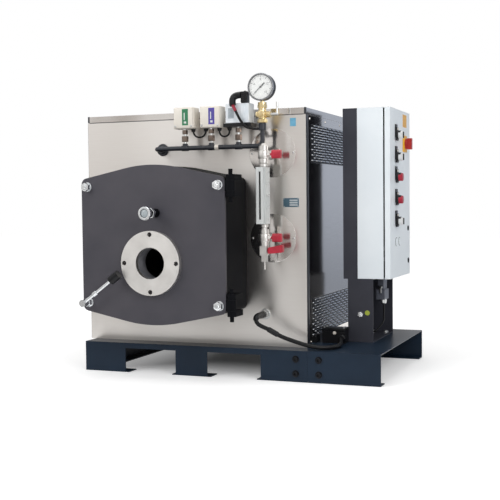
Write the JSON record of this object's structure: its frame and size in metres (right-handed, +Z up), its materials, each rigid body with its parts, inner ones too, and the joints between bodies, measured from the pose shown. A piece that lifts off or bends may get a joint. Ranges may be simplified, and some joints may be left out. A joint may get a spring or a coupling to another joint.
{
  "type": "industrial steam boiler with control cabinet",
  "caption": "Compact industrial steam boiler in a stainless casing on a dark steel base, with a hinged furnace door, level gauge, pressure switches and control cabinet",
  "frame": {"origin": "On the floor, under the middle of the whole object's bounding box", "axes": "+X to the right along the front, +Y from the front to the back, +Z up"},
  "size_m": [1.27, 1.2982, 1.1775],
  "materials": {
    "base_paint": "dark blue-grey satin paint",
    "stand_paint": "dark grey satin paint",
    "stainless": "bright rolled stainless sheet",
    "furnace_paint": "dark heat-resisting paint",
    "vessel_steel": "black mill-scale steel plate",
    "refractory": "rough cast refractory, pale",
    "bare_steel": "turned or plated steel",
    "brass": "turned brass",
    "grey_plastic": "pale grey moulded plastic",
    "black_plastic": "black moulded plastic",
    "red_plastic": "red moulded plastic",
    "dial_white": "white dial face",
    "dark_glass": "ribbed reflex glass, dark behind",
    "cable_rubber": "black rubber sheath",
    "cabinet_paint": "light grey powder coat"
  },
  "bodies": {
    "boiler_frame": {"base_cross_rails": "base_paint", "base_side_rails": "base_paint", "base_decks": "base_paint", "platform_skirts": "base_paint", "casing_front_panel": "stainless", "casing_side_panels": "stainless", "casing_rear_panel": "stainless", "casing_top_cover": "stainless", "side_louvres": "stainless", "flue_collar": "stainless", "front_box": "furnace_paint", "tube_plates": "vessel_steel", "smoke_tubes": "vessel_steel", "vessel_shell": "vessel_steel", "furnace_tube": "vessel_steel", "vessel_saddles": "base_paint", "hinge_brackets": "furnace_paint", "manifold_pipe": "furnace_paint", "pressure_switches": "grey_plastic", "limiter_base": "black_plastic", "limiter_box": "grey_plastic", "limiter_plug": "black_plastic", "switch_stems": "bare_steel", "switch_cable_loops": "cable_rubber", "limiter_lead": "cable_rubber", "gauge_case": "black_plastic", "gauge_dial": "dial_white", "gauge_cock": "brass", "level_cocks": "bare_steel", "level_gauge_body": "bare_steel", "level_gauge_glass": "dark_glass", "hose_fitting": "bare_steel", "feed_hose": "cable_rubber", "terminal_box": "black_plastic", "cabinet_stand": "stand_paint", "cabinet_box": "cabinet_paint", "cabinet_hinges": "bare_steel", "cable_connector": "grey_plastic", "connector_lead": "cable_rubber"},
    "furnace_door": {"door_plate": "furnace_paint", "door_lining": "refractory", "burner_flange": "bare_steel", "sight_tube": "furnace_paint", "door_nuts": "bare_steel", "door_lever": "bare_steel", "lever_knob": "black_plastic", "door_hinge_lugs": "furnace_paint"},
    "cabinet_front_door": {"cabinet_door": "cabinet_paint", "door_controls": "black_plastic"},
    "isolator_handle_body": {"isolator_handle": "red_plastic"},
    "upper_cock_handle_body": {"upper_cock_handle": "red_plastic"},
    "lower_cock_handle_body": {"lower_cock_handle": "red_plastic"},
    "drain_handle_body": {"drain_handle": "red_plastic"},
    "gauge_cock_lever_body": {"gauge_cock_lever": "brass"}
  },
  "joints": [
    {"name": "furnace_door_hinge", "type": "hinge", "parent": "boiler_frame", "child": "furnace_door", "pos_m": [0.097, -0.5471, 0.5255], "axis": [0, 0, 1], "range_deg": [0, 110]},
    {"name": "cabinet_door_hinge", "type": "hinge", "parent": "boiler_frame", "child": "cabinet_front_door", "pos_m": [0.585, -0.1079, 0.717], "axis": [0, 0, -1], "range_deg": [0, 105]},
    {"name": "isolator_turn", "type": "hinge", "parent": "cabinet_front_door", "child": "isolator_handle_body", "pos_m": [0.601, 0.1411, 0.924], "axis": [1, 0, 0], "range_deg": [0, 90]},
    {"name": "upper_cock_turn", "type": "hinge", "parent": "boiler_frame", "child": "upper_cock_handle_body", "pos_m": [0.199, -0.4179, 0.869], "axis": [1, 0, 0], "range_deg": [0, 90]},
    {"name": "lower_cock_turn", "type": "hinge", "parent": "boiler_frame", "child": "lower_cock_handle_body", "pos_m": [0.199, -0.4179, 0.551], "axis": [1, 0, 0], "range_deg": [0, 90]},
    {"name": "drain_turn", "type": "hinge", "parent": "boiler_frame", "child": "drain_handle_body", "pos_m": [0.195, -0.4179, 0.501], "axis": [1, 0, 0], "range_deg": [0, 90]},
    {"name": "gauge_cock_turn", "type": "hinge", "parent": "boiler_frame", "child": "gauge_cock_lever_body", "pos_m": [0.206, -0.4019, 1.022], "axis": [1, 0, 0], "range_deg": [0, 90]}
  ]
}
